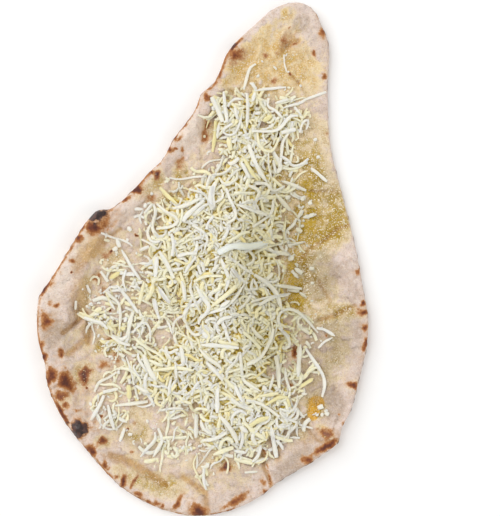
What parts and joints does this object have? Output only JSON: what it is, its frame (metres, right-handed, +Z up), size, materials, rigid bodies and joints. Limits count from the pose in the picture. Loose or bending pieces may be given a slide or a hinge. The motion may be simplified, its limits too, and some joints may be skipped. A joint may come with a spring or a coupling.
{
  "type": "cheese garlic naan",
  "caption": "Large teardrop flatbread with a puffed, charred rim, a buttered flat middle and an uneven heap of grated cheese on top.",
  "frame": {"origin": "middle of the bounding box in X and Y, on the flat underside that the bread rests on", "axes": "+Z up through the thickness, +Y along the length towards the narrow end, +X to the right as seen from above with the narrow end away"},
  "size_m": [0.2068, 0.321, 0.0175],
  "materials": {
    "baked_dough": "pale floury baked dough with brown and black char blisters, glossy where buttered",
    "grated_cheese": "satin, moist grated cheese, white and pale yellow shreds mixed"
  },
  "bodies": {
    "root": {"naan_bread": "baked_dough", "grated_cheese": "grated_cheese"}
  },
  "joints": []
}
